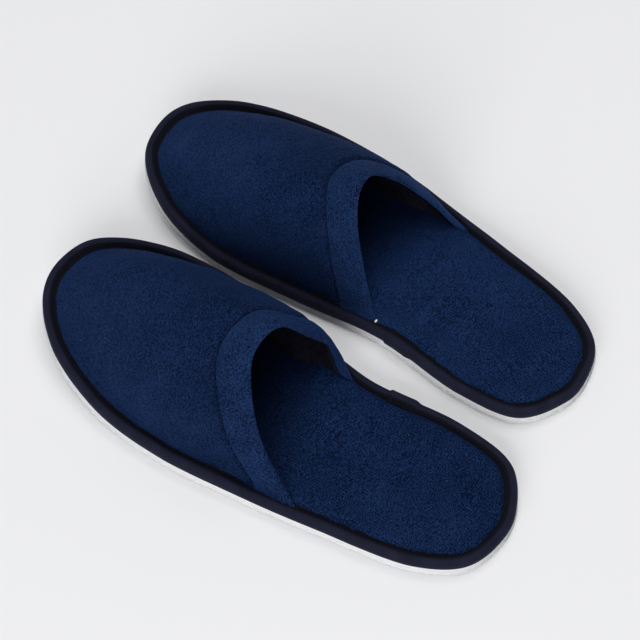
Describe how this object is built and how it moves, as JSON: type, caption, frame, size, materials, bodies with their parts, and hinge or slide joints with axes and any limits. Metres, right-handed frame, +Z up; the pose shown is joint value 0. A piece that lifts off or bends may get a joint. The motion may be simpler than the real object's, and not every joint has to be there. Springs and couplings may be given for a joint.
{
  "type": "pair of spa slippers",
  "caption": "Pair of closed-toe, open-heel slippers: fleece uppers with a folded cuff, tape-bound fleece insoles and thin white soles, right slipper beside the left and slightly ahead.",
  "frame": {"origin": "under the middle of the pair's bounding box, on the floor the soles stand on", "axes": "+Z up, +Y towards the toes (each slipper's toe points 2.4 degrees outwards), +X towards the right slipper"},
  "size_m": [0.227, 0.2976, 0.0713],
  "materials": {
    "outsole": "foamed EVA sheet, fine cross-hatched tread underneath, matt",
    "midsole": "white foamed EVA sheet, cut edge, matt",
    "insole_board": "plain fibre board, hidden",
    "insole_foam": "soft polyurethane foam, hidden",
    "insole_cover": "short navy fleece with fine ribs",
    "edge_binding": "dark navy woven tape, folded over the edge",
    "binding_thread": "dark sewing thread",
    "upper_fleece": "navy coral fleece with a short nap",
    "upper_interlining": "thin laminated foam, hidden",
    "upper_lining": "thin near-black woven lining",
    "cuff_band": "navy coral fleece, folded over the edge of the opening"
  },
  "bodies": {
    "left_slipper": {"left_outsole": "outsole", "left_midsole": "midsole", "left_insole_board": "insole_board", "left_insole_foam": "insole_foam", "left_insole_cover": "insole_cover", "left_edge_binding": "edge_binding", "left_binding_thread": "binding_thread", "left_upper_fleece": "upper_fleece", "left_upper_interlining": "upper_interlining", "left_upper_lining": "upper_lining", "left_cuff_band": "cuff_band"},
    "right_slipper": {"right_outsole": "outsole", "right_midsole": "midsole", "right_insole_board": "insole_board", "right_insole_foam": "insole_foam", "right_insole_cover": "insole_cover", "right_edge_binding": "edge_binding", "right_binding_thread": "binding_thread", "right_upper_fleece": "upper_fleece", "right_upper_interlining": "upper_interlining", "right_upper_lining": "upper_lining", "right_cuff_band": "cuff_band"}
  },
  "joints": [
    {"name": "right_slipper_lift", "type": "slide", "parent": "left_slipper", "child": "right_slipper", "axis": [0, 0, 1], "range_m": [0, 0.15]}
  ]
}
